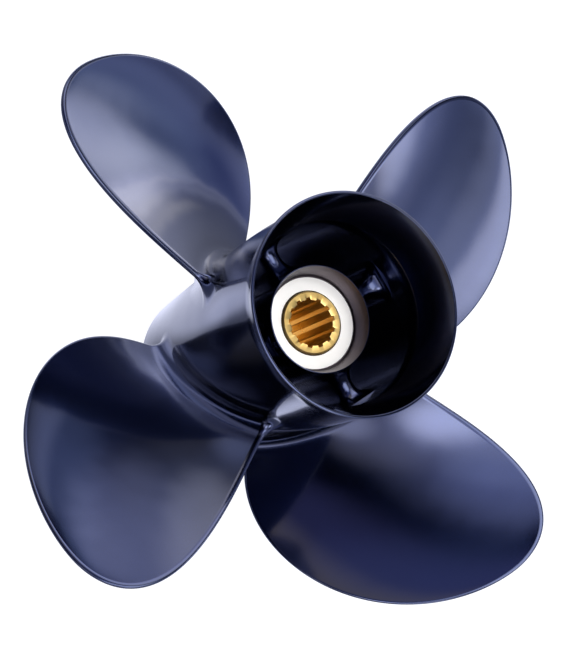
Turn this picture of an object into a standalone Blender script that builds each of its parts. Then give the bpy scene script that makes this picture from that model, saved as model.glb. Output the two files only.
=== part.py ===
# Four-blade outboard boat propeller with a flared through-hub exhaust barrel.
# Metres, +Z along the shaft towards the exhaust mouth. The origin is on the shaft axis
# at the barrel's front end face, on which the propeller stands.
# Right-handed: the blades climb towards +Z as they turn counter-clockwise about +Z.
import math

import bmesh
import bpy
from mathutils import Matrix, Vector

# Whole propeller
BLADE_COUNT = 4
PROPELLER_RADIUS = 0.146
PITCH = 0.314
SEAM = 0.0003

# Outer barrel
BARREL_LENGTH = 0.152
BARREL_FRONT_RADIUS = 0.037
BARREL_BODY_RADIUS = 0.0452
BARREL_SHOULDER_Z = 0.105
BARREL_SHOULDER_ROUNDING = 0.020
BARREL_FRONT_WALL = 0.0045
BARREL_REAR_WALL = 0.0058
RING_RADIUS = 0.0477
RING_FLARE_LENGTH = 0.015
RING_LIP_WIDTH = 0.0022
RING_LIP_CHAMFER = 0.0006
MOUTH_DEPTH = 0.021
MOUTH_STEP = 0.0012
BARREL_SIDES = 80
SHOULDER_STEPS = 3
FLARE_STEPS = 4
MOUTH_STEPS = 3

# Inner hub
HUB_FRONT_Z = 0.006
HUB_REAR_Z = 0.1180
HUB_FRONT_RADIUS = 0.0235
HUB_REAR_RADIUS = 0.0250
HUB_RIM_RADIUS = 0.0243
HUB_FACE_RADIUS = 0.0199
HUB_FACE_Z = 0.1095
HUB_FACE_THICKNESS = 0.008
HUB_BORE_RADIUS = 0.0192
HUB_SIDES = 64

# Splined sleeve
SLEEVE_RADIUS = 0.0138
SLEEVE_FRONT_Z = 0.0025
SLEEVE_REAR_STAND_OUT = 0.0008
SLEEVE_EDGE_CHAMFER = 0.0006
SLEEVE_BORE_RADIUS = 0.0099
SLEEVE_SEAT_DEPTH = 0.0030
SLEEVE_FACE_CLEARANCE = 0.0010
SPLINE_TEETH = 13
SPLINE_DEPTH = 0.0014
SPLINE_GROOVE_SHARE = 0.52
SPLINE_GROOVE_TAPER = 0.8
SLEEVE_SIDES = SPLINE_TEETH * 4

# Rubber bush
BUSH_FRONT_INSET = 0.004
BUSH_CHAMFER = 0.0008

# Ribs
RIB_PHASE = math.radians(45.0)
RIB_THICKNESS = 0.007
RIB_FRONT_Z = 0.012
RIB_REAR_Z = 0.1140
RIB_EDGE_ROUNDING = 0.0015
RIB_SEAM = 0.00035

# Blades: the outline is drawn flat, x along the helix and y as the radius
BLADE_PHASE = math.radians(58.0)
BLADE_MID_Z = 0.0783
BLADE_MID_RADIUS = 0.0429
BLADE_RAKE = 0.2825
OUTLINE_ROOT_RADIUS = 0.0401
LEADING_ROOT_X = -0.0491
LEADING_ROOT_HANDLE = (-0.1253, 0.1205)
LEADING_TIP_HANDLE = 0.0234
TRAILING_ROOT_X = 0.0314
TRAILING_ROOT_HANDLE = (0.0160, 0.0495)
TRAILING_TIP_HANDLE = 0.0608
TIP_X = 0.0005
ROOT_THICKNESS = 0.0105
TIP_THICKNESS = 0.0030
EDGE_THICKNESS = 0.0024
EDGE_ROUNDING = 0.0010
EDGE_LEAN = 0.6
CAMBER_SHARE = 0.022
FULLEST_POINT_SHIFT = 0.85
FULLNESS = 0.8
ROOT_FILLET = 0.006
FILLET_STEPS = 3
SPAN_STEPS = 13
TIP_TRIM = 0.02
CHORD_STATIONS = 9
BISECTIONS = 40
ROOT_PASSES = 12

SMOOTH_ANGLE = math.radians(35.0)


def clear_scene():
    for old in list(bpy.data.objects):
        bpy.data.objects.remove(old, do_unlink=True)


def make_collection(name):
    collection = bpy.data.collections.new(name)
    bpy.context.scene.collection.children.link(collection)
    return collection


def make_material(name, colour, roughness, metallic):
    material = bpy.data.materials.new(name)
    material.use_nodes = True
    shader = material.node_tree.nodes["Principled BSDF"]
    shader.inputs["Base Color"].default_value = (*colour, 1.0)
    shader.inputs["Roughness"].default_value = roughness
    shader.inputs["Metallic"].default_value = metallic
    return material


def add_object(name, mesh, collection, material=None, parent=None):
    thing = bpy.data.objects.new(name, mesh)
    collection.objects.link(thing)
    if material is not None and not mesh.materials:
        mesh.materials.append(material)
    thing.parent = parent
    return thing


def shade_round(mesh):
    mesh.shade_smooth()
    mesh.set_sharp_from_angle(angle=SMOOTH_ANGLE)


def quadratic_curve(start, corner, end, steps):
    # Points along a smooth bend from start to end that leans on the corner
    points = []
    for i in range(steps + 1):
        t = i / steps
        points.append(tuple(
            (1 - t) ** 2 * a + 2 * (1 - t) * t * b + t ** 2 * c
            for a, b, c in zip(start, corner, end)
        ))
    return points


def radius_at(profile, z):
    # Radius of a turned profile, listed upwards as (radius, z), at one height
    if z <= profile[0][1]:
        return profile[0][0]
    for (r0, z0), (r1, z1) in zip(profile, profile[1:]):
        if z <= z1:
            return r0 + (r1 - r0) * (z - z0) / (z1 - z0)
    return profile[-1][0]


def barrel_outer_profile():
    shoulder = (BARREL_BODY_RADIUS, BARREL_SHOULDER_Z)
    slope = (BARREL_BODY_RADIUS - BARREL_FRONT_RADIUS) / BARREL_SHOULDER_Z
    cone_end = (
        BARREL_BODY_RADIUS - slope * BARREL_SHOULDER_ROUNDING,
        BARREL_SHOULDER_Z - BARREL_SHOULDER_ROUNDING,
    )
    body_start = (BARREL_BODY_RADIUS, BARREL_SHOULDER_Z + BARREL_SHOULDER_ROUNDING)
    flare_start = (BARREL_BODY_RADIUS, BARREL_LENGTH - RING_FLARE_LENGTH)
    flare_corner = (BARREL_BODY_RADIUS, BARREL_LENGTH - RING_FLARE_LENGTH / 2)
    ring_edge = (RING_RADIUS, BARREL_LENGTH - RING_LIP_CHAMFER)
    profile = [(BARREL_FRONT_RADIUS, 0.0)]
    profile += quadratic_curve(cone_end, shoulder, body_start, SHOULDER_STEPS)
    profile += quadratic_curve(flare_start, flare_corner, ring_edge, FLARE_STEPS)
    return profile


def barrel_wall(z):
    # The cast wall thickens evenly towards the exhaust mouth
    share = z / (BARREL_LENGTH - MOUTH_DEPTH)
    return BARREL_FRONT_WALL + (BARREL_REAR_WALL - BARREL_FRONT_WALL) * share


def barrel_inner_profile(outer):
    throat_z = BARREL_LENGTH - MOUTH_DEPTH
    heights = [z for _, z in outer if z < throat_z] + [throat_z]
    profile = [(radius_at(outer, z) - barrel_wall(z), z) for z in heights]
    throat_radius = profile[-1][0]
    step = (throat_radius + MOUTH_STEP, throat_z)
    lip = (RING_RADIUS - RING_LIP_WIDTH, BARREL_LENGTH)
    corner = ((step[0] + lip[0]) / 2 + MOUTH_STEP, (step[1] + lip[1]) / 2)
    return profile + quadratic_curve(step, corner, lip, MOUTH_STEPS)


def hub_outer_profile():
    return [(HUB_FRONT_RADIUS, HUB_FRONT_Z), (HUB_REAR_RADIUS, HUB_REAR_Z)]


def turned(name, outer, inner, sides, collection, material, parent):
    # Both profiles are listed upwards. The outline runs down the outside and up the inside.
    outline = list(reversed(outer)) + list(inner)
    mesh = bpy.data.meshes.new(name)
    corners = [(r, 0.0, z) for r, z in outline]
    edges = [(i, (i + 1) % len(corners)) for i in range(len(corners))]
    mesh.from_pydata(corners, edges, [])
    ring = add_object(name, mesh, collection, material, parent)
    screw = ring.modifiers.new("turn", "SCREW")
    screw.axis = "Z"
    screw.angle = 2 * math.pi
    screw.steps = sides
    screw.render_steps = sides
    screw.use_merge_vertices = True
    screw.merge_threshold = 0.00001
    screw.use_smooth_shade = False
    return ring


def flat_plate(name, outline, thickness, collection, material, parent):
    # A flat outline in the XY plane, thickened evenly to both sides
    curve = bpy.data.curves.new(name, "CURVE")
    curve.dimensions = "2D"
    curve.fill_mode = "BOTH"
    curve.extrude = thickness / 2
    spline = curve.splines.new("POLY")
    spline.points.add(len(outline) - 1)
    for point, (x, y) in zip(spline.points, outline):
        point.co = (x, y, 0.0, 1.0)
    spline.use_cyclic_u = True
    drawn = bpy.data.objects.new(name + "_outline", curve)
    collection.objects.link(drawn)
    bpy.context.view_layer.update()
    depsgraph = bpy.context.evaluated_depsgraph_get()
    mesh = bpy.data.meshes.new_from_object(drawn.evaluated_get(depsgraph))
    bpy.data.objects.remove(drawn, do_unlink=True)
    work = bmesh.new()
    work.from_mesh(mesh)
    bmesh.ops.remove_doubles(work, verts=work.verts, dist=0.00001)
    bmesh.ops.recalc_face_normals(work, faces=work.faces)
    work.to_mesh(mesh)
    work.free()
    return add_object(name, mesh, collection, material, parent)


def make_barrel(collection, material, parent):
    outer = barrel_outer_profile()
    outer.append((RING_RADIUS - RING_LIP_CHAMFER, BARREL_LENGTH))
    inner = barrel_inner_profile(barrel_outer_profile())
    return turned("outer_barrel", outer, inner, BARREL_SIDES, collection, material, parent)


def make_hub(collection, material, parent):
    face_bore = SLEEVE_RADIUS + SLEEVE_FACE_CLEARANCE
    outer = hub_outer_profile() + [(HUB_RIM_RADIUS, HUB_REAR_Z + HUB_REAR_RADIUS - HUB_RIM_RADIUS)]
    inner = [
        (HUB_BORE_RADIUS, HUB_FRONT_Z),
        (HUB_BORE_RADIUS, HUB_FACE_Z - HUB_FACE_THICKNESS),
        (face_bore, HUB_FACE_Z - HUB_FACE_THICKNESS),
        (face_bore, HUB_FACE_Z),
        (HUB_FACE_RADIUS, HUB_FACE_Z),
    ]
    return turned("inner_hub", outer, inner, HUB_SIDES, collection, material, parent)


def make_bush(collection, material, parent):
    front = HUB_FRONT_Z + BUSH_FRONT_INSET
    rear = HUB_FACE_Z - HUB_FACE_THICKNESS - SEAM
    radius = HUB_BORE_RADIUS - SEAM
    bore = SLEEVE_RADIUS + SEAM
    outer = [
        (radius - BUSH_CHAMFER, front),
        (radius, front + BUSH_CHAMFER),
        (radius, rear - BUSH_CHAMFER),
        (radius - BUSH_CHAMFER, rear),
    ]
    inner = [(bore, front), (bore, rear)]
    return turned("rubber_bush", outer, inner, SLEEVE_SIDES, collection, material, parent)


def spline_outline():
    # One wheel of grooves. Between them the outline stays inside the bore and cuts nothing.
    pitch_angle = 2 * math.pi / SPLINE_TEETH
    foot = SPLINE_GROOVE_SHARE * pitch_angle / 2
    crest = foot * SPLINE_GROOVE_TAPER
    low = SLEEVE_BORE_RADIUS - SPLINE_DEPTH / 2
    high = SLEEVE_BORE_RADIUS + SPLINE_DEPTH
    points = []
    for tooth in range(SPLINE_TEETH):
        middle = tooth * pitch_angle
        for radius, offset in ((low, -foot), (high, -crest), (high, crest), (low, foot)):
            angle = middle + offset
            points.append((radius * math.cos(angle), radius * math.sin(angle)))
    return points


def make_sleeve(collection, cutters, material, parent):
    rear = HUB_FACE_Z + SLEEVE_REAR_STAND_OUT
    chamfer = SLEEVE_EDGE_CHAMFER
    major = SLEEVE_BORE_RADIUS + SPLINE_DEPTH
    seat = major + chamfer
    outer = [
        (SLEEVE_RADIUS - chamfer, SLEEVE_FRONT_Z),
        (SLEEVE_RADIUS, SLEEVE_FRONT_Z + chamfer),
        (SLEEVE_RADIUS, rear - chamfer),
        (SLEEVE_RADIUS - chamfer, rear),
    ]
    inner = [
        (seat, SLEEVE_FRONT_Z),
        (SLEEVE_BORE_RADIUS, SLEEVE_FRONT_Z + SLEEVE_SEAT_DEPTH),
        (SLEEVE_BORE_RADIUS, rear - chamfer),
        (SLEEVE_BORE_RADIUS + chamfer, rear),
    ]
    sleeve = turned("splined_sleeve", outer, inner, SLEEVE_SIDES, collection, material, parent)
    length = rear - SLEEVE_FRONT_Z
    cutter = flat_plate("spline_cutter", spline_outline(), 2 * length, cutters, None, parent)
    cutter.location.z = SLEEVE_FRONT_Z + length / 2
    cutter.display_type = "WIRE"
    cutter.hide_render = True
    cut = sleeve.modifiers.new("splines", "BOOLEAN")
    cut.operation = "DIFFERENCE"
    cut.solver = "EXACT"
    cut.object = cutter
    return sleeve


def make_ribs(collection, material, parent):
    hub = hub_outer_profile()
    wall = barrel_inner_profile(barrel_outer_profile())
    heights = [RIB_FRONT_Z] + [z for _, z in wall if RIB_FRONT_Z < z < RIB_REAR_Z] + [RIB_REAR_Z]
    outline = [(radius_at(hub, RIB_FRONT_Z) + SEAM, RIB_FRONT_Z)]
    outline += [(radius_at(wall, z) - RIB_SEAM, z) for z in heights]
    outline.append((radius_at(hub, RIB_REAR_Z) + SEAM, RIB_REAR_Z))
    for index in range(BLADE_COUNT):
        name = f"rib_{index + 1}"
        rib = flat_plate(name, outline, RIB_THICKNESS, collection, material, parent)
        rib.data.transform(Matrix.Rotation(math.pi / 2, 4, "X"))
        rib.rotation_euler.z = RIB_PHASE + index * 2 * math.pi / BLADE_COUNT
        rounding = rib.modifiers.new("rounding", "BEVEL")
        rounding.width = RIB_EDGE_ROUNDING
        rounding.segments = 2
        rounding.limit_method = "ANGLE"


def bezier(points, t):
    a, b, c, d = points
    return (
        (1 - t) ** 3 * a + 3 * (1 - t) ** 2 * t * b
        + 3 * (1 - t) * t ** 2 * c + t ** 3 * d
    )


def outline_x(root_x, root_handle, tip_handle, radius):
    # x of one edge of the flat outline at a radius. Below its root it keeps the root x.
    xs = (root_x, root_handle[0], TIP_X + tip_handle, TIP_X)
    ys = (OUTLINE_ROOT_RADIUS, root_handle[1], PROPELLER_RADIUS, PROPELLER_RADIUS)
    low, high = 0.0, 1.0
    for _ in range(BISECTIONS):
        middle = (low + high) / 2
        if bezier(ys, middle) < radius:
            low = middle
        else:
            high = middle
    return bezier(xs, low)


def blade_edges(radius):
    leading = outline_x(LEADING_ROOT_X, LEADING_ROOT_HANDLE, -LEADING_TIP_HANDLE, radius)
    trailing = outline_x(TRAILING_ROOT_X, TRAILING_ROOT_HANDLE, TRAILING_TIP_HANDLE, radius)
    return leading, trailing


def on_helix(x, offset, radius):
    # Wraps a point of the flat section, x along the helix and offset square to it
    angle = math.atan2(PITCH, 2 * math.pi * radius)
    around = (x * math.cos(angle) - offset * math.sin(angle)) / radius
    along = x * math.sin(angle) + offset * math.cos(angle)
    z = BLADE_MID_Z + BLADE_RAKE * (radius - BLADE_MID_RADIUS) + along
    return Vector((radius * math.cos(around), radius * math.sin(around), z))


def section_loop():
    # Stations round a section as (share of chord, side, reach along chord, reach off the face).
    # side is 1 on the pressure face, -1 on the suction face and 0 on the two noses.
    stations = [(1 - math.cos(math.pi * i / (CHORD_STATIONS - 1))) / 2 for i in range(CHORD_STATIONS)]
    loop = [(0.0, 0, -1.0, 0.0)]
    for side, shares in ((1, stations), (-1, list(reversed(stations)))):
        if side == -1:
            loop.append((1.0, 0, 1.0, 0.0))
        for share in shares:
            lean = EDGE_LEAN if share in (0.0, 1.0) else 0.0
            along = math.copysign(lean, share - 0.5)
            loop.append((share, side, along, side * math.sqrt(1 - lean ** 2)))
    return loop


def section_point(station, radius, fillet):
    share, side, reach_along, reach_off = station
    leading, trailing = blade_edges(radius)
    chord = trailing - leading
    span = (radius - OUTLINE_ROOT_RADIUS) / (PROPELLER_RADIUS - OUTLINE_ROOT_RADIUS)
    fullest = ROOT_THICKNESS + (TIP_THICKNESS - ROOT_THICKNESS) * span
    bulge = (4 * share ** FULLEST_POINT_SHIFT * (1 - share ** FULLEST_POINT_SHIFT)) ** FULLNESS
    thickness = EDGE_THICKNESS + (fullest - EDGE_THICKNESS) * bulge
    hollow = CAMBER_SHARE * chord * 4 * share * (1 - share)
    inset = min(EDGE_ROUNDING, chord / 4)
    if side == 0:
        x = leading + chord * share
        offset = -EDGE_THICKNESS / 2
    else:
        x = leading + inset + (chord - 2 * inset) * share
        offset = -hollow if side == 1 else -hollow - thickness
    return on_helix(x + fillet * reach_along, offset + fillet * reach_off, radius)


def root_radius(station, barrel):
    # The radius at which this station's line of the blade meets the barrel, one seam above it
    radius = BARREL_BODY_RADIUS
    for _ in range(ROOT_PASSES):
        point = section_point(station, radius, ROOT_FILLET)
        radius = radius_at(barrel, point.z) + SEAM
    return radius


def span_stations():
    # Heights over the barrel as a share of what is left to the tip, with the fillet's width there
    reach = PROPELLER_RADIUS - BARREL_BODY_RADIUS
    stations = []
    for i in range(FILLET_STEPS + 1):
        angle = math.pi / 2 * i / FILLET_STEPS
        height = ROOT_FILLET * (1 - math.cos(angle))
        stations.append((height / reach, ROOT_FILLET * (1 - math.sin(angle))))
    start = 1 - math.sqrt(1 - stations[-1][0])
    for i in range(1, SPAN_STEPS + 1):
        t = start + (1 - TIP_TRIM - start) * i / SPAN_STEPS
        stations.append((1 - (1 - t) ** 2, 0.0))
    return stations


def blade_mesh():
    barrel = barrel_outer_profile()
    loop = section_loop()
    roots = [root_radius(station, barrel) for station in loop]
    work = bmesh.new()
    rows = []
    for share, fillet in span_stations():
        row = []
        for station, root in zip(loop, roots):
            radius = root + (PROPELLER_RADIUS - root) * share
            row.append(work.verts.new(section_point(station, radius, fillet)))
        rows.append(row)
    count = len(loop)
    for lower, upper in zip(rows, rows[1:]):
        for i in range(count):
            j = (i + 1) % count
            work.faces.new((lower[i], lower[j], upper[j], upper[i]))
    # The root is closed along its middle line, so that it stays outside the round barrel
    root_row = rows[0]
    middle = []
    for i in range(1, CHORD_STATIONS + 1):
        front, back = root_row[i], root_row[count - i]
        radius = (roots[i] + roots[count - i]) / 2
        centre = (front.co + back.co) / 2
        flat = Vector((centre.x, centre.y, 0.0)).normalized() * radius
        middle.append(work.verts.new((flat.x, flat.y, centre.z)))
    for i in range(1, CHORD_STATIONS):
        work.faces.new((root_row[i + 1], root_row[i], middle[i - 1], middle[i]))
        work.faces.new((middle[i], middle[i - 1], root_row[count - i], root_row[count - i - 1]))
    work.faces.new((root_row[1], root_row[0], middle[0]))
    work.faces.new((middle[0], root_row[0], root_row[count - 1]))
    nose = CHORD_STATIONS + 1
    work.faces.new((root_row[nose], root_row[nose - 1], middle[-1]))
    work.faces.new((middle[-1], root_row[nose + 1], root_row[nose]))
    tip = rows[-1]
    for i in range(1, CHORD_STATIONS):
        work.faces.new((tip[i], tip[i + 1], tip[count - i - 1], tip[count - i]))
    work.faces.new((tip[0], tip[1], tip[count - 1]))
    work.faces.new((tip[nose - 1], tip[nose], tip[nose + 1]))
    bmesh.ops.recalc_face_normals(work, faces=work.faces)
    mesh = bpy.data.meshes.new("blade")
    work.to_mesh(mesh)
    work.free()
    shade_round(mesh)
    return mesh


def make_blades(collection, material, parent):
    mesh = blade_mesh()
    for index in range(BLADE_COUNT):
        blade = add_object(f"blade_{index + 1}", mesh, collection, material, parent)
        blade.rotation_euler.z = BLADE_PHASE + index * 2 * math.pi / BLADE_COUNT


def main():
    clear_scene()
    propeller = make_collection("boat_propeller")
    cutters = make_collection("cutters")
    shaft_axis = add_object("shaft_axis", None, propeller)
    navy_paint = make_material("navy_paint", (0.035, 0.045, 0.125), 0.3, 0.0)
    brass = make_material("machined_brass", (0.80, 0.52, 0.17), 0.3, 1.0)
    rubber = make_material("moulded_rubber", (0.05, 0.035, 0.03), 0.8, 0.0)
    make_barrel(propeller, navy_paint, shaft_axis)
    make_hub(propeller, navy_paint, shaft_axis)
    make_ribs(propeller, navy_paint, shaft_axis)
    make_blades(propeller, navy_paint, shaft_axis)
    make_bush(propeller, rubber, shaft_axis)
    make_sleeve(propeller, cutters, brass, shaft_axis)


main()
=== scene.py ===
# Outboard boat propeller: the looks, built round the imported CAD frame. All lengths are in metres.
import math

import bmesh
import bpy
import numpy as np
from mathutils import Matrix


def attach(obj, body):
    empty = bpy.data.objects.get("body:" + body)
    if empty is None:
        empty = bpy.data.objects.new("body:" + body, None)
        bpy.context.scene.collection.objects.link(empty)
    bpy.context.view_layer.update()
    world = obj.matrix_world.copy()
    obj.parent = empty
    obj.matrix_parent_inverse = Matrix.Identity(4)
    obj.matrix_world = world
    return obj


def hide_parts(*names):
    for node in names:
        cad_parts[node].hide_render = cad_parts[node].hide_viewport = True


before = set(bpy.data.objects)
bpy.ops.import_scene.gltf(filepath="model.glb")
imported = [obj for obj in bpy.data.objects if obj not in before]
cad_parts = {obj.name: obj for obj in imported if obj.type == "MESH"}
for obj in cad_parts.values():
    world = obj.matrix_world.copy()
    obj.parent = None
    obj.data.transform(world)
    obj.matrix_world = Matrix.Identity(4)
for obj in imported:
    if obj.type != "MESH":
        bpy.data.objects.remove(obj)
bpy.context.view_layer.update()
print("frame loaded:", len(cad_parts), "solids")


# Small helpers

quarterTurn = math.pi / 2
fullTurn = 2 * math.pi
weldDistance = 1e-7  # points closer than this become one


def hexColour(text):
    # sRGB hex to linear RGBA
    channels = [int(text[i:i + 2], 16) / 255 for i in (1, 3, 5)]
    linear = [c / 12.92 if c <= 0.04045 else ((c + 0.055) / 1.055) ** 2.4 for c in channels]
    return (*linear, 1.0)


def perMetre(millimetres):
    # How many features of this real size fit in a metre: the scale of a pattern in object space
    return round(1000 / millimetres)


def addNode(tree, kind, settings=None, values=None, links=None):
    # One node: settings are its properties, values its sockets, links socket -> another node's output
    node = tree.nodes.new(kind)
    for name, value in (settings or {}).items():
        setattr(node, name, value)
    for name, value in (values or {}).items():
        node.inputs[name].default_value = value
    for name, source in (links or {}).items():
        tree.links.new(source, node.inputs[name])
    return node


def newMaterial(name):
    material = bpy.data.materials.new(name)
    material.use_nodes = True
    tree = material.node_tree
    shader = tree.nodes["Principled BSDF"]
    place = addNode(tree, "ShaderNodeTexCoord").outputs["Object"]
    return material, tree, shader, place


def bend(start, corner, end, steps):
    # A smooth bend from start to end that leans on the corner
    t = np.linspace(0, 1, steps + 1)[:, None]
    a, b, c = (np.array(p, float) for p in (start, corner, end))
    return (1 - t) ** 2 * a + 2 * (1 - t) * t * b + t ** 2 * c


def roundedLoop(corners, steps=8):
    # Closed outline from (radius, z, cut): each corner is rounded over its cut. Also gives, for
    # each point, the number of the corner whose stretch starts there.
    points, stretches = [], []
    count = len(corners)
    for i, (r, z, cut) in enumerate(corners):
        here = np.array((r, z))
        before = np.array(corners[i - 1][:2])
        after = np.array(corners[(i + 1) % count][:2])
        arc = [here]
        if cut > 0:
            start = here + (before - here) * cut / np.linalg.norm(before - here)
            end = here + (after - here) * cut / np.linalg.norm(after - here)
            arc = bend(start, here, end, steps)
        points += list(arc)
        stretches += [(i - 1) % count] * (len(arc) - 1) + [i]
    return np.array(points), stretches


def turned(outline, sides):
    # Rows of points: one row round the axis for each (radius, z) of the outline
    angles = np.linspace(0, fullTurn, sides, endpoint=False)
    r, z = outline[:, 0][:, None], outline[:, 1][:, None]
    return np.stack([r * np.cos(angles), r * np.sin(angles), z + 0 * angles], axis=-1)


def turnedBy(points, degrees):
    spin = np.array(Matrix.Rotation(math.radians(degrees), 3, "Z"))
    return np.asarray(points) @ spin.T


def gridFaces(rows, columns, wrapRows=False):
    # Quads between neighbouring rows. The columns always run round and close.
    faces = []
    for j in range(rows if wrapRows else rows - 1):
        below, above = j * columns, (j + 1) % rows * columns
        for i in range(columns):
            k = (i + 1) % columns
            faces.append((below + i, below + k, above + k, above + i))
    return faces


def newPiece(name, points, faces, materials, finishes=None, sharpDegrees=40):
    mesh = bpy.data.meshes.new(name)
    mesh.from_pydata(np.asarray(points).reshape(-1, 3).tolist(), [], faces)
    for material in materials:
        mesh.materials.append(material)
    if finishes is not None:
        mesh.polygons.foreach_set("material_index", finishes)
    work = bmesh.new()
    work.from_mesh(mesh)
    bmesh.ops.remove_doubles(work, verts=work.verts, dist=weldDistance)
    bmesh.ops.recalc_face_normals(work, faces=work.faces)
    work.to_mesh(mesh)
    work.free()
    mesh.shade_smooth()
    mesh.set_sharp_from_angle(angle=math.radians(sharpDegrees))
    piece = bpy.data.objects.new(name, mesh)
    bpy.context.scene.collection.objects.link(piece)
    return piece


def dress(piece, slotName, *nodeNames):
    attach(piece, "root")
    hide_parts(*nodeNames)
    return piece


# Camera: the photograph's own view of this propeller, drawn larger

photoView = {
    "location": (-0.26642, -0.20251, 0.71947),
    "turn": (11.818, -25.424, 11.442),  # degrees about X, Y and Z
    "lens": 88.2,
    "nearest": 0.01,
}


def addCamera(view):
    data = bpy.data.cameras.new("photoCamera")
    data.lens = view["lens"]
    data.clip_start = view["nearest"]
    camera = bpy.data.objects.new("photoCamera", data)
    camera.location = view["location"]
    camera.rotation_euler = [math.radians(a) for a in view["turn"]]
    bpy.context.scene.collection.objects.link(camera)
    bpy.context.scene.camera = camera


addCamera(photoView)
print("camera placed")


# Materials. Sizes of patterns are in millimetres, depths of relief in metres, and a roughness is
# its lowest and highest value.

paint = {
    "navy": "#28335a",
    "deepNavy": "#242e51",
    "patchSize": 55.6,  # slow changes of tone over a blade
    "flake": 1.0,  # share of metal flake in the base coat
    "flakeSize": 0.6667,  # real flake is far finer: drawn as coarse as it needs to show
    "flakeSpread": (0.3, 0.7),  # the part of the noise that the roughness runs over
    "roughness": (0.16, 0.22),
    "coatRoughness": 0.10,
    "coatIOR": 1.5,
    "castSize": 18.2,  # slow waves of the casting
    "castDepth": 0.00010,
    "peelSize": 1.429,  # ripples of the sprayed coat
    "peelDepth": 0.000004,
}


def navyEnamel(look):
    # Pearl navy enamel sprayed over a blasted aluminium casting, with a clear coat: a blue
    # sheen that dies quickly away from the light, and clear reflections with faint orange peel
    material, tree, shader, place = newMaterial("sprayedNavyEnamel")
    patches = addNode(
        tree, "ShaderNodeTexNoise", {}, {"Scale": perMetre(look["patchSize"]), "Detail": 4},
        {"Vector": place},
    )
    colour = addNode(
        tree, "ShaderNodeMix", {"data_type": "RGBA"},
        {6: hexColour(look["deepNavy"]), 7: hexColour(look["navy"])}, {0: patches.outputs["Fac"]},
    )
    flakes = addNode(
        tree, "ShaderNodeTexNoise", {}, {"Scale": perMetre(look["flakeSize"]), "Detail": 2},
        {"Vector": place},
    )
    noiseLow, noiseHigh = look["flakeSpread"]
    smoothest, roughest = look["roughness"]
    rough = addNode(
        tree, "ShaderNodeMapRange", {},
        {"From Min": noiseLow, "From Max": noiseHigh, "To Min": smoothest, "To Max": roughest},
        {"Value": flakes.outputs["Fac"]},
    )
    cast = addNode(
        tree, "ShaderNodeTexNoise", {}, {"Scale": perMetre(look["castSize"]), "Detail": 1},
        {"Vector": place},
    )
    castBump = addNode(
        tree, "ShaderNodeBump", {}, {"Strength": 1.0, "Distance": look["castDepth"]},
        {"Height": cast.outputs["Fac"]},
    )
    peel = addNode(
        tree, "ShaderNodeTexNoise", {}, {"Scale": perMetre(look["peelSize"]), "Detail": 2},
        {"Vector": place},
    )
    peelBump = addNode(
        tree, "ShaderNodeBump", {}, {"Strength": 1.0, "Distance": look["peelDepth"]},
        {"Height": peel.outputs["Fac"], "Normal": castBump.outputs["Normal"]},
    )
    tree.links.new(colour.outputs[2], shader.inputs["Base Color"])
    tree.links.new(rough.outputs[0], shader.inputs["Roughness"])
    tree.links.new(peelBump.outputs[0], shader.inputs["Normal"])
    tree.links.new(peelBump.outputs[0], shader.inputs["Coat Normal"])
    shader.inputs["Metallic"].default_value = look["flake"]
    shader.inputs["Coat Weight"].default_value = 1.0
    shader.inputs["Coat Roughness"].default_value = look["coatRoughness"]
    shader.inputs["Coat IOR"].default_value = look["coatIOR"]
    return material


facedMetal = {
    "name": "facedAluminium",
    "colour": "#fdfcf9",
    "roughness": (0.44, 0.58),
    "ringSpacing": 0.5556,  # between tool marks: real ones are finer, and wouldn't show
    "ringShare": 0.5,  # of the relief: the rest is smear
    "ringDepth": 0.000012,
    "smearSize": 4.0,
}
# the same bare aluminium as the face, with a dark colour that is painted shade, a painted reflection of
# the dark inside of the barrel
coneMetalPaintedDark = {
    "name": "countersunkAluminiumPaintedDark",
    "colour": "#524b52",
    "roughness": (0.26, 0.40),
    "ringSpacing": 0.5556,
    "ringShare": 0.5,
    "ringDepth": 0.000006,
    "smearSize": 4.0,
}


def turnedAluminium(look):
    # Bare cast aluminium cut on a lathe, with fine rings round the axis: the face is white and satin,
    # and the smoother countersink mirrors the dark inside of the barrel, while its dark base colour is
    # painted shade on that same metal
    material, tree, shader, place = newMaterial(look["name"])
    flat = addNode(
        tree, "ShaderNodeVectorMath", {"operation": "MULTIPLY"}, {1: (1, 1, 0)}, {0: place},
    )
    radius = addNode(tree, "ShaderNodeVectorMath", {"operation": "LENGTH"}, {}, {0: flat.outputs[0]})
    count = addNode(
        tree, "ShaderNodeMath", {"operation": "MULTIPLY"},
        {1: fullTurn * perMetre(look["ringSpacing"])}, {0: radius.outputs["Value"]},
    )
    rings = addNode(tree, "ShaderNodeMath", {"operation": "SINE"}, {}, {0: count.outputs[0]})
    smear = addNode(
        tree, "ShaderNodeTexNoise", {}, {"Scale": perMetre(look["smearSize"]), "Detail": 4},
        {"Vector": place},
    )
    height = addNode(
        tree, "ShaderNodeMath", {"operation": "MULTIPLY_ADD"}, {1: look["ringShare"]},
        {0: rings.outputs[0], 2: smear.outputs["Fac"]},
    )
    bump = addNode(
        tree, "ShaderNodeBump", {}, {"Strength": 1.0, "Distance": look["ringDepth"]},
        {"Height": height.outputs[0]},
    )
    smoothest, roughest = look["roughness"]
    rough = addNode(
        tree, "ShaderNodeMapRange", {}, {"To Min": smoothest, "To Max": roughest},
        {"Value": smear.outputs["Fac"]},
    )
    shader.inputs["Base Color"].default_value = hexColour(look["colour"])
    shader.inputs["Metallic"].default_value = 1.0
    tree.links.new(rough.outputs[0], shader.inputs["Roughness"])
    tree.links.new(bump.outputs[0], shader.inputs["Normal"])
    return material


brassLook = {
    "light": "#fae09a",
    "dark": "#e8ba62",
    "tarnishSize": 8.33,
    "roughness": (0.22, 0.37),
    "gritSize": 1.111,  # marks of the broach: real ones are finer, and wouldn't show
    "gritDepth": 0.000005,
}


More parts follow.
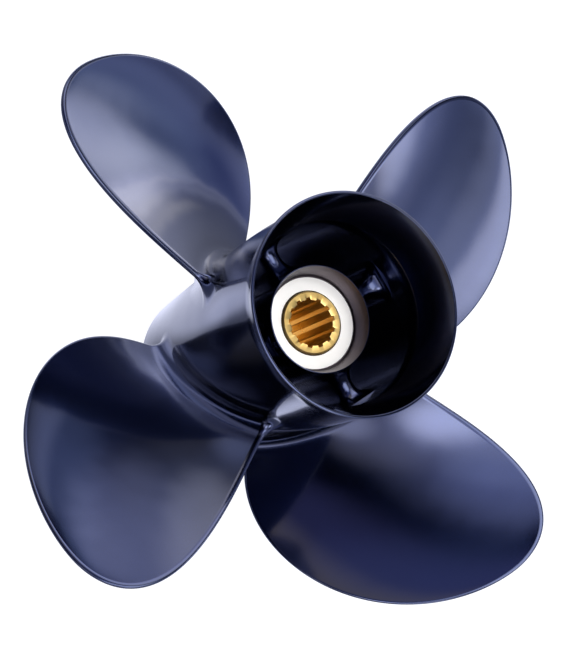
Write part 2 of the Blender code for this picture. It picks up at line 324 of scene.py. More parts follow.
def machinedBrass(look):
    # Turned and broached brass: golden, satin, a little darker where the oxide starts
    material, tree, shader, place = newMaterial("machinedBrass")
    tarnish = addNode(
        tree, "ShaderNodeTexNoise", {}, {"Scale": perMetre(look["tarnishSize"]), "Detail": 5},
        {"Vector": place},
    )
    colour = addNode(
        tree, "ShaderNodeMix", {"data_type": "RGBA"},
        {6: hexColour(look["dark"]), 7: hexColour(look["light"])}, {0: tarnish.outputs["Fac"]},
    )
    grit = addNode(
        tree, "ShaderNodeTexNoise", {}, {"Scale": perMetre(look["gritSize"]), "Detail": 3},
        {"Vector": place},
    )
    bump = addNode(
        tree, "ShaderNodeBump", {}, {"Strength": 1.0, "Distance": look["gritDepth"]},
        {"Height": grit.outputs["Fac"]},
    )
    smoothest, roughest = look["roughness"]
    rough = addNode(
        tree, "ShaderNodeMapRange", {}, {"To Min": smoothest, "To Max": roughest},
        {"Value": tarnish.outputs["Fac"]},
    )
    tree.links.new(colour.outputs[2], shader.inputs["Base Color"])
    tree.links.new(rough.outputs[0], shader.inputs["Roughness"])
    tree.links.new(bump.outputs[0], shader.inputs["Normal"])
    shader.inputs["Metallic"].default_value = 1.0
    return material


rubberLook = {
    "dark": "#2a2017",
    "light": "#3d3022",
    "cloudSize": 16.7,
    "roughness": (0.67, 0.83),
    "grainSize": 0.833,  # the mould's blasted grain, drawn coarser than it is so that it shows
    "grainDepth": 0.00001,
}


def mouldedRubber(look):
    # Natural rubber moulded and bonded round the sleeve: matt brown-black with a fine grain
    material, tree, shader, place = newMaterial("mouldedRubber")
    cloud = addNode(
        tree, "ShaderNodeTexNoise", {}, {"Scale": perMetre(look["cloudSize"]), "Detail": 5},
        {"Vector": place},
    )
    colour = addNode(
        tree, "ShaderNodeMix", {"data_type": "RGBA"},
        {6: hexColour(look["dark"]), 7: hexColour(look["light"])}, {0: cloud.outputs["Fac"]},
    )
    grain = addNode(
        tree, "ShaderNodeTexNoise", {}, {"Scale": perMetre(look["grainSize"]), "Detail": 2},
        {"Vector": place},
    )
    bump = addNode(
        tree, "ShaderNodeBump", {}, {"Strength": 1.0, "Distance": look["grainDepth"]},
        {"Height": grain.outputs["Fac"]},
    )
    smoothest, roughest = look["roughness"]
    rough = addNode(
        tree, "ShaderNodeMapRange", {}, {"To Min": smoothest, "To Max": roughest},
        {"Value": grain.outputs["Fac"]},
    )
    tree.links.new(colour.outputs[2], shader.inputs["Base Color"])
    tree.links.new(rough.outputs[0], shader.inputs["Roughness"])
    tree.links.new(bump.outputs[0], shader.inputs["Normal"])
    return material


enamel = navyEnamel(paint)
faceMetal = turnedAluminium(facedMetal)
countersinkPaintedShade = turnedAluminium(coneMetalPaintedDark)
brass = machinedBrass(brassLook)
rubber = mouldedRubber(rubberLook)
print("materials made")


# Outer barrel: cone, rounded shoulder, straight body and flared ring. A cut is how far back from
# a corner its rounding starts.

barrel = {
    "length": 0.152,
    "frontRadius": 0.037,
    "frontCut": 0.0010,
    "frontInnerCut": 0.0008,
    "bodyRadius": 0.0452,
    "shoulderZ": 0.105,
    "shoulderCut": 0.020,
    "frontWall": 0.0045,
    "rearWall": 0.0058,
    "ringRadius": 0.0477,
    "flareZ": 0.1462,
    "flareCut": 0.0054,
    "lipWidth": 0.0016,
    "lipCut": 0.0012,
    "lipInnerCut": 0.0003,
    "mouthCut": 0.0102,
    "throatZ": 0.131,
    "throatStep": 0.0010,
    "throatSoft": 0.0030,  # half the length of the step's slope
    "throatCut": 0.0028,
    "roundSteps": 16,
    "sides": 288,
}


def wallAt(z):
    share = z / barrel["throatZ"]
    return barrel["frontWall"] + (barrel["rearWall"] - barrel["frontWall"]) * share


def barrelOutline():
    # Up the outside from the front end, over the lip and down the inside
    throat = barrel["bodyRadius"] - barrel["rearWall"]
    mouth = throat + barrel["throatStep"]
    lip = barrel["ringRadius"] - barrel["lipWidth"]
    top = barrel["length"]
    middle = ((mouth + lip) / 2 + barrel["throatStep"], (barrel["throatZ"] + top) / 2)
    shoulderInside = barrel["bodyRadius"] - wallAt(barrel["shoulderZ"])
    corners = [
        (barrel["frontRadius"], 0.0, barrel["frontCut"]),
        (barrel["bodyRadius"], barrel["shoulderZ"], barrel["shoulderCut"]),
        (barrel["bodyRadius"], barrel["flareZ"], barrel["flareCut"]),
        (barrel["ringRadius"], top, barrel["lipCut"]),
        (lip, top, barrel["lipInnerCut"]),
        (*middle, barrel["mouthCut"]),
        (mouth, barrel["throatZ"] + barrel["throatSoft"], barrel["throatCut"]),
        (throat, barrel["throatZ"] - barrel["throatSoft"], barrel["throatCut"]),
        (shoulderInside, barrel["shoulderZ"], barrel["shoulderCut"]),
        (barrel["frontRadius"] - barrel["frontWall"], 0.0, barrel["frontInnerCut"]),
    ]
    outline, _ = roundedLoop(corners, barrel["roundSteps"])
    return outline


def makeBarrel(outline):
    rows = turned(outline, barrel["sides"])
    faces = gridFaces(len(outline), barrel["sides"], wrapRows=True)
    return newPiece("castBarrel", rows, faces, [enamel])


# Both sides of the wall as tables of radius and z: the outer one starts halfway round the front
# edge and ends at the lip, the inner one starts at the front and ends below the lip's rounding
barrelLoop = barrelOutline()
lipIndex = int(np.argmax(barrelLoop[:, 1]))
barrelTable = barrelLoop[barrel["roundSteps"] // 2:lipIndex + 1]
throatTable = barrelLoop[lipIndex + barrel["roundSteps"] + 2:][::-1]


def barrelRadius(z):
    return np.interp(z, barrelTable[:, 1], barrelTable[:, 0])


def throatRadius(z):
    return np.interp(z, throatTable[:, 1], throatTable[:, 0])


dress(makeBarrel(barrelLoop), "navy_paint", "outer_barrel")
print("barrel made")


# Inner hub: painted outside, bare machined face and countersink at the rear

hub = {
    "frontZ": 0.006,
    "frontRadius": 0.0235,
    "frontCut": 0.0010,
    "rearZ": 0.1187,
    "rearRadius": 0.0237,
    "rearCut": 0.0006,
    "rimRadius": 0.0232,
    "faceRadius": 0.0208,
    "faceZ": 0.1095,
    "faceThickness": 0.008,
    "faceCut": 0.0001,
    "faceBore": 0.0143,
    "faceBoreCut": 0.0002,
    "grooveWidth": 0.0006,  # where the facing tool stopped
    "grooveDepth": 0.0005,
    "bore": 0.0192,
    "boreCut": 0.0008,
    "sides": 192,
}


def hubRadius(z):
    return np.interp(z, (hub["frontZ"], hub["rearZ"]), (hub["frontRadius"], hub["rearRadius"]))


def makeHub():
    painted, cone, face = 0, 1, 2
    grooveZ = hub["faceZ"] - hub["grooveDepth"]
    faceEdge = hub["faceRadius"] - hub["grooveWidth"]
    backZ = hub["faceZ"] - hub["faceThickness"]
    corners = [  # the finish is that of the stretch which starts at the corner
        (hub["frontRadius"], hub["frontZ"], hub["frontCut"], painted),
        (hub["rearRadius"], hub["rearZ"], hub["rearCut"], painted),
        (hub["rimRadius"], hub["rearZ"], 0.0, cone),
        (hub["faceRadius"], hub["faceZ"], 0.0, cone),
        (hub["faceRadius"], grooveZ, 0.0, cone),
        (faceEdge, grooveZ, 0.0, cone),
        (faceEdge, hub["faceZ"], hub["faceCut"], face),
        (hub["faceBore"], hub["faceZ"], hub["faceBoreCut"], painted),
        (hub["faceBore"], backZ, 0.0, painted),
        (hub["bore"], backZ, 0.0, painted),
        (hub["bore"], hub["frontZ"], hub["boreCut"], painted),
    ]
    outline, stretches = roundedLoop([corner[:3] for corner in corners])
    finishes = np.repeat([corners[i][3] for i in stretches], hub["sides"])
    rows = turned(outline, hub["sides"])
    faces = gridFaces(len(outline), hub["sides"], wrapRows=True)
    materials = [enamel, countersinkPaintedShade, faceMetal]
    return newPiece("castHub", rows, faces, materials, finishes, sharpDegrees=30)


dress(makeHub(), "navy_paint", "inner_hub")
print("hub made")


# Ribs: four cast webs that blend into the hub and into the barrel

rib = {
    "count": 4,
    "firstAngle": 45,
    "thickness": 0.0085,
    "frontZ": 0.012,
    "rearZ": 0.1100,
    "fillet": 0.0068,
    "saddle": 0.0050,  # how far the ends run out along the hub and the barrel
    "saddlePower": 8,  # how quickly that dies away along the web
    "edge": 0.0041,  # rounding of the front and rear edges
    "sunk": 0.0004,  # how far the web reaches into the hub and the barrel
    "endShares": (1 / 7, 3 / 7, 5 / 7),  # extra columns there, to follow the round
    "lengthSteps": 40,
    "filletSteps": 8,
    "edgeSteps": 9,
    "webSteps": 8,
}


def ribLevels():
    # For each row of the web: z, how far its sides draw in, and its share of the saddle
    edge, power = rib["edge"], rib["saddlePower"]
    turn = np.linspace(quarterTurn, 0, rib["edgeSteps"] + 1)[:-1]
    drawnIn = edge * (1 - np.cos(turn))
    fromEnd = edge * (1 - np.sin(turn))
    bodyZ = np.linspace(rib["frontZ"] + edge, rib["rearZ"] - edge, rib["lengthSteps"])
    share = np.linspace(0, 1, rib["lengthSteps"])
    levels = [(rib["frontZ"] + up, inset, -1.0) for up, inset in zip(fromEnd, drawnIn)]
    levels += [(z, 0.0, s ** power - (1 - s) ** power) for z, s in zip(bodyZ, share)]
    levels += [(rib["rearZ"] - up, inset, 1.0) for up, inset in zip(fromEnd[::-1], drawnIn[::-1])]
    return levels


def ribMesh():
    fillet, ends = rib["fillet"], np.array(rib["endShares"])
    turn = np.linspace(0, quarterTurn, rib["filletSteps"] + 1)
    away = fillet * (1 - np.cos(turn))  # distance from the hub or the barrel
    extra = fillet * (1 - np.sin(turn))  # how far the web has spread there
    rise = rib["saddle"] * (1 - np.sin(turn))  # how far it runs along them
    buried = np.ones(len(ends) + 1)
    rows = []
    for z, inset, saddle in ribLevels():
        inner, outer = hubRadius(z), throatRadius(z)
        web = np.linspace(inner + fillet, outer - fillet, rib["webSteps"] + 1)[1:-1]
        radii = np.concatenate([
            (inner - rib["sunk"]) * buried, inner + away, web,
            (outer - away)[::-1], (outer + rib["sunk"]) * buried,
        ])
        spread = np.concatenate([extra[0] * buried, extra, 0 * web, extra[::-1], extra[0] * buried])
        lift = np.concatenate([rise[0] * buried, rise, 0 * web, rise[::-1], rise[0] * buried])
        half = rib["thickness"] / 2 + spread - inset
        half[:len(ends)] *= ends
        half[-len(ends):] *= ends[::-1]
        near = [(math.sqrt(r * r - t * t), t, z + saddle * up) for r, t, up in zip(radii, half, lift)]
        far = [(x, -y, up) for x, y, up in reversed(near)]
        rows.append(near + far)
    columns = len(rows[0])
    faces = gridFaces(len(rows), columns)
    last = (len(rows) - 1) * columns
    for i in range(columns // 2 - 1):  # closes the front and the rear edge
        j = columns - 1 - i
        faces.append((i, i + 1, j - 1, j))
        faces.append((last + i, last + j, last + j - 1, last + i + 1))
    return np.array(rows), faces


ribPoints, ribFaces = ribMesh()
for index in range(rib["count"]):
    placed = turnedBy(ribPoints, rib["firstAngle"] + index * 360 / rib["count"])
    piece = newPiece(f"castRib{index + 1}", placed, ribFaces, [enamel], sharpDegrees=60)
    dress(piece, "navy_paint", f"rib_{index + 1}")
print("ribs made")


# Blades: drawn flat (x along the helix, y the radius, n off the helix) and wrapped round the axis

blade = {
    "count": 4,
    "firstAngle": 58,
    "tipRadius": 0.14585,
    "pitch": 0.314,
    "midZ": 0.0783,
    "midRadius": 0.0429,
    "rake": 0.2825,
    "rootRadius": 0.0401,
    "leadingRoot": -0.0491,
    "leadingHandle": (-0.1253, 0.1205),
    "leadingTipHandle": 0.0234,
    "trailingRoot": 0.0314,
    "trailingHandle": (0.0160, 0.0495),
    "trailingTipHandle": 0.0608,
    "tipX": 0.0005,
    "rootThickness": 0.0105,
    "tipThickness": 0.0030,
    "edgeThickness": 0.0024,
    "fullness": 1.1,  # of the thickness towards the edges
    "hollow": 0.026,  # depth of the pressure face as a share of the chord
    "softTip": 0.018,  # chord below which hollow and thickness fade out
    "leadingEdge": (0.0016, 2.2),  # rounding inwards, and how square the edge is
    "trailingEdge": (0.0022, 3.2),
    "tipFade": 0.75,  # share of an edge from which the two turn into each other
    "fillet": 0.0085,
    "underSkin": 0.0008,  # how deep the foot of the fillet goes into the barrel
    "footDepth": 0.00006,  # how far under the skin the fillet ends
    "footPasses": 10,  # rounds in which the foot settles on the barrel's round
    "chordSteps": 48,
    "edgeSteps": 12,
    "spanSteps": 84,
    "filletSteps": 12,
    "columnSteps": 400,
    "outlineSteps": 1200,
}
leastChord = 1e-6


def bezierCurve(points, t):
    a, b, c, d = (np.array(p, float) for p in points)
    t = np.asarray(t)[..., None]
    return (1 - t) ** 3 * a + 3 * (1 - t) ** 2 * t * b + 3 * (1 - t) * t ** 2 * c + t ** 3 * d


def bezierSlope(points, t):
    a, b, c, d = (np.array(p, float) for p in points)
    t = np.asarray(t)[..., None]
    return 3 * ((1 - t) ** 2 * (b - a) + 2 * (1 - t) * t * (c - b) + t ** 2 * (d - c))


tipPoint = (blade["tipX"], blade["tipRadius"])
leadingCurve = [
    (blade["leadingRoot"], blade["rootRadius"]), blade["leadingHandle"],
    (blade["tipX"] - blade["leadingTipHandle"], blade["tipRadius"]), tipPoint,
]
trailingCurve = [
    (blade["trailingRoot"], blade["rootRadius"]), blade["trailingHandle"],
    (blade["tipX"] + blade["trailingTipHandle"], blade["tipRadius"]), tipPoint,
]
outlineShares = np.linspace(0, 1, blade["outlineSteps"])
leadingTable = bezierCurve(leadingCurve, outlineShares)
trailingTable = bezierCurve(trailingCurve, outlineShares)
tipEdge = tuple((a + b) / 2 for a, b in zip(blade["leadingEdge"], blade["trailingEdge"]))


def wrapped(x, n, y):
    # Flat coordinates to the helix
    angle = np.arctan2(blade["pitch"], fullTurn * y)
    around = (x * np.cos(angle) - n * np.sin(angle)) / y
    raked = blade["midZ"] + blade["rake"] * (y - blade["midRadius"])
    z = raked + x * np.sin(angle) + n * np.cos(angle)
    return np.stack([y * np.cos(around), y * np.sin(around), z], axis=-1)


def faceOffsets(x, y):
    # n of the pressure face and of the suction face
    leading = np.interp(y, leadingTable[:, 1], leadingTable[:, 0])
    trailing = np.interp(y, trailingTable[:, 1], trailingTable[:, 0])
    chord = np.maximum(trailing - leading, leastChord)
    crown = np.maximum((x - leading) * (trailing - x), 0) * 4 / (chord * (chord + blade["softTip"]))
    span = (y - blade["rootRadius"]) / (blade["tipRadius"] - blade["rootRadius"])
    fullest = blade["rootThickness"] + (blade["tipThickness"] - blade["rootThickness"]) * span
    grown = (fullest - blade["edgeThickness"]) * crown * blade["fullness"]
    thickness = blade["edgeThickness"] + grown
    pressure = -blade["hollow"] * chord * crown
    return pressure, pressure - thickness


def edgeStart(curve, v, outwardSign, edgeShape):
    # Inner line of the rounded edge, the way outwards, how deep it rounds and how square it is
    slope = bezierSlope(curve, v)
    out = np.stack([slope[..., 1], -slope[..., 0]], axis=-1) * outwardSign
    out = out / np.linalg.norm(out, axis=-1, keepdims=True)
    fade = np.clip((v - blade["tipFade"]) / (1 - blade["tipFade"]), 0, 1)
    fade = fade * fade * (3 - 2 * fade)
    depth = edgeShape[0] + (tipEdge[0] - edgeShape[0]) * fade
    square = edgeShape[1] + (tipEdge[1] - edgeShape[1]) * fade
    return bezierCurve(curve, v) - out * depth[..., None], out, depth, square


def columnPoint(column, v):
    # One column of the blade's skin at v from root to tip: flat x, y and n
    kind, place = column
    lead, leadOut, leadDepth, leadSquare = edgeStart(leadingCurve, v, -1, blade["leadingEdge"])
    trail, trailOut, trailDepth, trailSquare = edgeStart(trailingCurve, v, 1, blade["trailingEdge"])
    if kind in ("pressure", "suction"):
        flat = lead + (trail - lead) * place
        pressure, suction = faceOffsets(flat[..., 0], flat[..., 1])
        return flat[..., 0], flat[..., 1], pressure if kind == "pressure" else suction
    start, out, depth, square = lead, leadOut, leadDepth, leadSquare
    if kind == "trailing":
        start, out, depth, square = trail, trailOut, trailDepth, trailSquare
    pressure, suction = faceOffsets(start[..., 0], start[..., 1])
    reach = np.abs(np.cos(place)) ** (2 / square) * depth
    height = np.sign(np.sin(place)) * np.abs(np.sin(place)) ** (2 / square)
    flat = start + out * reach[..., None]
    return flat[..., 0], flat[..., 1], (pressure + suction) / 2 + (pressure - suction) / 2 * height


def bladeColumns():
    # Once round the section: pressure face, trailing edge, suction face, leading edge
    across = (1 - np.cos(np.linspace(0, math.pi, blade["chordSteps"]))) / 2
    roundEdge = np.linspace(quarterTurn, -quarterTurn, blade["edgeSteps"] + 1)[1:-1]
    columns = [("pressure", u) for u in across]
    columns += [("trailing", a) for a in roundEdge]
    columns += [("suction", u) for u in across[::-1]]
    columns += [("leading", a) for a in roundEdge[::-1]]
    return columns


def bladeMesh():
    columns = bladeColumns()
    count = len(columns)
    v = np.linspace(0, 1, blade["columnSteps"])
    tables = [columnPoint(column, v) for column in columns]

    def atRadii(radii):
        # x, n and v of every column at its own radius
        found = []
        for (x, radius, n), y in zip(tables, radii):
            found.append((np.interp(y, radius, x), np.interp(y, radius, n), np.interp(y, radius, v)))
        return np.array(found).T

    def outwards(radii):
        # Way out of the section at each column, in x and n
        x, n, _ = atRadii(radii)
        alongX = np.roll(x, -1) - np.roll(x, 1)
        alongN = np.roll(n, -1) - np.roll(n, 1)
        length = np.hypot(alongX, alongN)
        return -alongN / length, alongX / length

    # The foot and the fillet: height over the barrel's skin, and distance from the section
    fillet, under = blade["fillet"], blade["underSkin"]
    turn = np.linspace(0, quarterTurn, blade["filletSteps"] + 1)
    steps = [(-under, fillet + under), (-blade["footDepth"], fillet + under)]
    steps += [(fillet * (1 - math.cos(a)), fillet * (1 - math.sin(a))) for a in turn]
    rows, radii = [], np.full(count, barrel["bodyRadius"])
    for height, width in steps:
        outX, outN = outwards(radii + max(height, 0.0))
        for _ in range(blade["footPasses"]):
            x, n, _ = atRadii(radii)
            point = wrapped(x + outX * width, n + outN * width, radii)
            radii = barrelRadius(point[:, 2]) + height
        rows.append(point)

    # From there to the tip
    startV = atRadii(radii)[2]
    for k in range(1, blade["spanSteps"] + 1):
        share = k / blade["spanSteps"]
        row = []
        for i, column in enumerate(columns):
            x, y, n = columnPoint(column, np.array(startV[i] + (1 - startV[i]) * share))
            row.append(wrapped(x, n, y))
        rows.append(np.array(row))

    # The root is closed under the barrel's skin
    faces = gridFaces(len(rows), count)
    wide, edge = blade["chordSteps"], blade["edgeSteps"] - 1
    leadingFirst = 2 * wide + edge
    for i in range(wide - 1):
        j = leadingFirst - 1 - i
        faces.append((i, j, j - 1, i + 1))
    faces.append([0] + list(range(count - 1, leadingFirst - 2, -1)))
    faces.append(list(range(wide + edge, wide - 2, -1)))
    return np.array(rows), faces


bladePoints, bladeFaces = bladeMesh()
for index in range(blade["count"]):
    placed = turnedBy(bladePoints, blade["firstAngle"] + index * 360 / blade["count"])
    piece = newPiece(f"castBlade{index + 1}", placed, bladeFaces, [enamel], sharpDegrees=70)
    dress(piece, "navy_paint", f"blade_{index + 1}")
print("blades made:", len(bladeFaces), "faces each")


# Rubber bush: shows at the front end and as a thin ring round the brass at the rear

bush = {
    "frontZ": 0.010,
    "rearZ": 0.1014,
    "outer": 0.01915,
    "outerCut": 0.0008,
    "rearCut": 0.0006,
    "inner": 0.01385,
    "innerCut": 0.0005,
    "collar": 0.01425,
    "collarZ": 0.1092,
    "collarCut": 0.0002,
    "grooveDepth": 0.0014,
    "grooveCut": 0.0012,
    "sides": 128,
}


def makeBush():
    front, middle = bush["frontZ"], (bush["outer"] + bush["inner"]) / 2
    corners = [
        (bush["outer"], front, bush["outerCut"]),
        (bush["outer"], bush["rearZ"], bush["rearCut"]),
        (bush["collar"], bush["rearZ"], 0.0),
        (bush["collar"], bush["collarZ"], bush["collarCut"]),
        (bush["inner"], bush["collarZ"], bush["collarCut"]),
        (bush["inner"], front, bush["innerCut"]),
        (middle, front + bush["grooveDepth"], bush["grooveCut"]),
    ]
    outline, _ = roundedLoop(corners)
    rows = turned(outline, bush["sides"])
    faces = gridFaces(len(outline), bush["sides"], wrapRows=True)
    return newPiece("bushRubber", rows, faces, [rubber])


dress(makeBush(), "rubber", "rubber_bush")
print("bush made")


# Brass sleeve with splines

sleeve = {
    "radius": 0.0138,
    "frontZ": 0.0025,
    "rearZ": 0.1103,
    "chamfer": 0.0006,
    "bore": 0.0099,
    "teeth": 13,
    "grooveDepth": 0.0010,
    "grooveShare": 0.46,  # of the tooth spacing
    "grooveTaper": 0.8,
    "toothCut": 0.0002,  # small step at the rear ends of the teeth
    "seatLength": 0.0030,  # countersink at the front end
    "seatCorner": 0.4,  # share of it at which it turns
    "stepsPerTooth": 16,
}


def splineRadius(angles):
    # Inner radius round the bore: teeth at the bore radius, tapered grooves between them
    spacing = fullTurn / sleeve["teeth"]
    off = np.abs((angles + spacing / 2) % spacing - spacing / 2)
    foot = sleeve["grooveShare"] * spacing / 2
    crest = foot * sleeve["grooveTaper"]
    rise = np.clip((foot - off) / (foot - crest), 0, 1)
    rise = rise * rise * (3 - 2 * rise)
    return sleeve["bore"] + sleeve["grooveDepth"] * rise


def makeSleeve():
    sides = sleeve["teeth"] * sleeve["stepsPerTooth"]
    angles = np.linspace(0, fullTurn, sides, endpoint=False)
    cut, toothCut, front, rear = (sleeve[k] for k in ("chamfer", "toothCut", "frontZ", "rearZ"))
    seat = sleeve["bore"] + sleeve["grooveDepth"] + toothCut
    seatEnd = front + sleeve["seatLength"]
    outside = [
        (sleeve["radius"] - cut, front), (sleeve["radius"], front + cut),
        (sleeve["radius"], rear - cut), (sleeve["radius"] - cut, rear),
    ]
    inside = [  # the least radius: where it is smaller than the splines, they show
        (seat, rear), (sleeve["bore"] + toothCut, rear - toothCut), (0.0, rear - cut),
        (0.0, seatEnd), (seat - cut, front + sleeve["seatLength"] * sleeve["seatCorner"]), (seat, front),
    ]
    splines = splineRadius(angles)
    rings = list(turned(np.array(outside), sides))
    for least, z in inside:
        r = np.maximum(splines, least)
        rings.append(np.stack([r * np.cos(angles), r * np.sin(angles), z + 0 * angles], axis=-1))
    faces = gridFaces(len(rings), sides, wrapRows=True)
    return newPiece("sleeveBrass", np.array(rings), faces, [brass], sharpDegrees=30)


dress(makeSleeve(), "brass", "splined_sleeve")
print("sleeve made")


# Studio: a white table whose glow, seen by every ray but the camera's, is painted light and painted
# shadow, and soft lamps in the world; the camera sees both as white

# tints of the painted light in the table's glow
coolPaintedLight, warmPaintedLight = "#e4e8ff", "#e7e1d6"
studio = {
    "floorSize": 8.0,
    "floorColour": "#666c80",
    "floorRoughness": 0.9,
    "grainSize": 2.5,  # millimetres
    "grainDepth": 0.0002,
    "grainStrength": 0.2,
    "tableWhite": 0.97,  # the table's glow as the camera sees it
    # the glow that falls on the paint is painted light, darker round the part as a painted shadow: its
    # level round the part, far from it, and where it grows
    "paintedShadowGlow": 0.11,
    "farGlow": 1.45,
    "glowFrom": 0.35,
    "glowTo": 1.4,
    # patches of painted light in it: x, y, inner and outer radius, strength and tint. Below zero is a
    # painted shade.
    "paintedPools": [
        (-0.082, 0.055, 0.052, 0.072, 0.78, coolPaintedLight),
        (-0.100, 0.012, 0.012, 0.030, 0.45, coolPaintedLight),
        (0.042, -0.100, 0.022, 0.045, 1.3, coolPaintedLight),
        (0.0, 0.0, 0.02, 0.05, 1.6, coolPaintedLight),
        (0.22, 0.38, 0.05, 0.15, 1.2, warmPaintedLight),
        (0.335, 0.53, 0.03, 0.14, 2.6, warmPaintedLight),
        (0.46, 0.68, 0.06, 0.20, 2.8, warmPaintedLight),
        (0.64, 0.95, 0.10, 0.28, 3.4, warmPaintedLight),
        (1.10, 1.42, 0.20, 0.60, 4.0, warmPaintedLight),
        (2.55, 2.90, 0.30, 0.95, 3.5, warmPaintedLight),
        (0.46, 0.36, 0.05, 0.22, -0.17, coolPaintedLight),
        (1.35, 0.80, 0.25, 0.70, -1.15, coolPaintedLight),
        (0.02, 0.33, 0.08, 0.22, 0.45, coolPaintedLight),
        (-0.20, 0.70, 0.20, 0.45, 2.20, coolPaintedLight),
    ],
    "background": "#fbfbfb",
    # lamps: direction round the axis and height above the horizon in degrees, half width,
    # softness, and strength in red, green and blue
    "softboxes": [
        (307, 80, 15, 12, (3.8, 3.8, 3.75)),
        (290, 15, 8, 6, (4.6, 4.6, 4.7)),
        (300, 56, 6.5, 6, (4.4, 4.2, 3.8)),
        (250, 40, 6.5, 6, (3.60, 3.58, 3.51)),
        (358, 16, 6.5, 6, (3.1, 3.05, 2.95)),
        (72.6, 49, 13, 12, (2.6, 2.5, 2.4)),
        (47, 9, 6.5, 6, (2.15, 2.11, 2.08)),
        (262.6, 39.1, 13, 12, (2.13, 2.04, 1.88)),
        (41, -2, 6.5, 6, (1.61, 1.63, 1.68)),
        (41, 20, 6.5, 6, (1.17, 1.17, 1.17)),
        (318, 46, 6.5, 6, (1.02, 1.03, 1.07)),
        (315.1, 34, 13, 12, (0.84, 0.88, 0.97)),
        (230.2, 30.8, 13, 12, (0.82, 0.76, 0.75)),
        (242.6, 55.2, 13, 12, (0.45, 0.45, 0.55)),
        (355.3, 10.3, 13, 12, (0.69, 0.68, 0.70)),
        (28, 20, 6.5, 6, (0.55, 0.64, 0.85)),
        (125.1, 40.9, 13, 12, (0.87, 0.71, 0.42)),
        (335.2, 21.7, 13, 12, (0.52, 0.58, 0.76)),
        (112.7, 24, 13, 12, (0.28, 0.27, 0.27)),
        (113, 29, 6.5, 6, (1.30, 1.25, 1.15)),
        (125, 4, 9, 7, (0.75, 0.82, 1.05)),
        (150, 1, 10, 9, (0.75, 0.75, 0.88)),
        (65, 21, 4, 3, (0.70, 0.75, 0.95)),
        (240, 56, 5, 4, (0.60, 0.65, 0.80)),
        (224, 24, 6.5, 6, (1.50, 1.50, 1.55)),
        (36, 33, 5, 4, (0.9, 0.9, 1.1)),
        (233, 63, 6.5, 6, (0.50, 0.55, 0.80)),
        (74, 27, 6.5, 6, (0.35, 0.42, 0.60)),
        (93, 38, 11, 9, (1.10, 1.10, 1.30)),
        (7.7, 29.2, 13, 12, (0.48, 0.52, 0.70)),
        (15.3, -0.7, 13, 12, (0.27, 0.33, 0.65)),
        (34, 9, 6.5, 6, (0.28, 0.35, 0.44)),
        (137.5, 74.6, 13, 12, (0.18, 0.23, 0.44)),
        (157.6, 50.7, 13, 12, (0.21, 0.20, 0.38)),
    ],
}


def paintedTableLight(tree, place):
    # The glow that falls on the paint is painted light: a painted shadow makes it darker round the part,
    # with soft patches of painted light and painted shade
    away = addNode(tree, "ShaderNodeVectorMath", {"operation": "LENGTH"}, {}, {0: place})
    level = addNode(
        tree, "ShaderNodeMapRange", {"interpolation_type": "SMOOTHSTEP"},
        {
            "From Min": studio["glowFrom"], "From Max": studio["glowTo"],
            "To Min": studio["paintedShadowGlow"], "To Max": studio["farGlow"],
        },
        {"Value": away.outputs["Value"]},
    )
    total = addNode(
        tree, "ShaderNodeVectorMath", {"operation": "MULTIPLY"}, {1: hexColour(coolPaintedLight)[:3]},
        {0: level.outputs[0]},
    )
    for x, y, inner, outer, strength, tint in studio["paintedPools"]:
        off = addNode(
            tree, "ShaderNodeVectorMath", {"operation": "DISTANCE"}, {1: (x, y, 0)}, {0: place},
        )
        pool = addNode(
            tree, "ShaderNodeMapRange", {"interpolation_type": "SMOOTHSTEP"},
            {"From Min": inner, "From Max": outer, "To Min": strength, "To Max": 0.0},
            {"Value": off.outputs["Value"]},
        )
        total = addNode(
            tree, "ShaderNodeVectorMath", {"operation": "MULTIPLY_ADD"}, {1: hexColour(tint)[:3]},
            {0: pool.outputs[0], 2: total.outputs[0]},
        )
    return total.outputs[0]


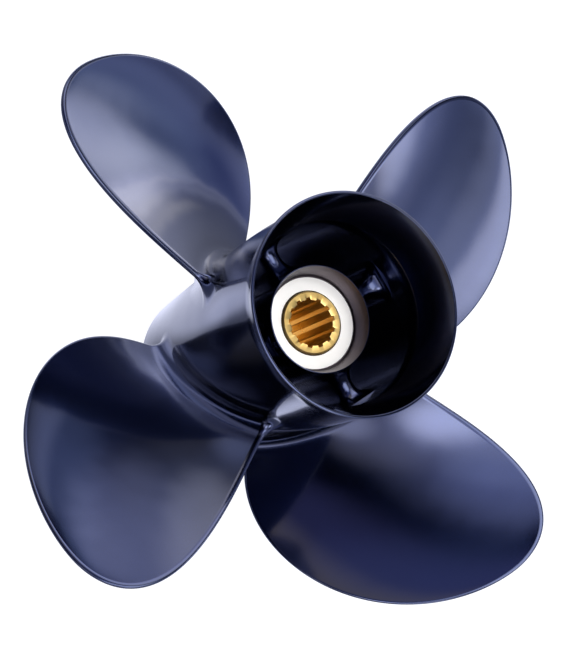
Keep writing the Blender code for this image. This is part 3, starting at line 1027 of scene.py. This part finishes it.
def addFloor():
    # Matt acrylic table top: the camera sees a plain white ground with faint shadows, and every other
    # ray sees a glow of painted light and painted shade
    half = studio["floorSize"] / 2
    corners = [(-half, -half, 0), (half, -half, 0), (half, half, 0), (-half, half, 0)]
    mesh = bpy.data.meshes.new("studioFloor")
    mesh.from_pydata(corners, [], [(0, 1, 2, 3)])
    material, tree, shader, place = newMaterial("mattAcrylicPaintedLight")
    grain = addNode(
        tree, "ShaderNodeTexNoise", {}, {"Scale": perMetre(studio["grainSize"]), "Detail": 3},
        {"Vector": place},
    )
    bump = addNode(
        tree, "ShaderNodeBump", {},
        {"Strength": studio["grainStrength"], "Distance": studio["grainDepth"]},
        {"Height": grain.outputs["Fac"]},
    )
    white = studio["tableWhite"]
    # the camera sees even white; every other ray sees the painted light and painted shade of the glow
    path = addNode(tree, "ShaderNodeLightPath")
    seen = addNode(
        tree, "ShaderNodeMix", {"data_type": "RGBA"}, {7: (white, white, white, 1)},
        {0: path.outputs["Is Camera Ray"], 6: paintedTableLight(tree, place)},
    )
    tree.links.new(bump.outputs[0], shader.inputs["Normal"])
    tree.links.new(seen.outputs[2], shader.inputs["Emission Color"])
    shader.inputs["Emission Strength"].default_value = 1.0
    shader.inputs["Base Color"].default_value = hexColour(studio["floorColour"])
    shader.inputs["Roughness"].default_value = studio["floorRoughness"]
    mesh.materials.append(material)
    floor = bpy.data.objects.new("studioFloor", mesh)
    bpy.context.scene.collection.objects.link(floor)


def wayTo(azimuth, height):
    a, e = math.radians(azimuth), math.radians(height)
    return (math.cos(a) * math.cos(e), math.sin(a) * math.cos(e), math.sin(e))


def lightStudio():
    world = bpy.data.worlds.new("studio")
    world.use_nodes = True
    bpy.context.scene.world = world
    tree = world.node_tree
    way = addNode(tree, "ShaderNodeTexCoord").outputs["Generated"]
    total = None
    for azimuth, height, half, soft, strength in studio["softboxes"]:
        near = addNode(
            tree, "ShaderNodeVectorMath", {"operation": "DOT_PRODUCT"},
            {1: wayTo(azimuth, height)}, {0: way},
        )
        lamp = addNode(
            tree, "ShaderNodeMapRange", {"interpolation_type": "SMOOTHSTEP"},
            {
                "From Min": math.cos(math.radians(half + soft)),
                "From Max": math.cos(math.radians(max(half - soft, 0))),
            },
            {"Value": near.outputs["Value"]},
        )
        links = {0: lamp.outputs[0]}
        if total is not None:
            links[2] = total
        tinted = addNode(
            tree, "ShaderNodeVectorMath", {"operation": "MULTIPLY_ADD"}, {1: strength}, links,
        )
        total = tinted.outputs[0]
    path = addNode(tree, "ShaderNodeLightPath")
    seen = addNode(
        tree, "ShaderNodeMix", {"data_type": "RGBA"}, {7: hexColour(studio["background"])},
        {0: path.outputs["Is Camera Ray"], 6: total},
    )
    tree.links.new(seen.outputs[2], tree.nodes["Background"].inputs["Color"])


addFloor()
lightStudio()
bpy.context.scene.view_settings.view_transform = "Standard"
print("studio lit")
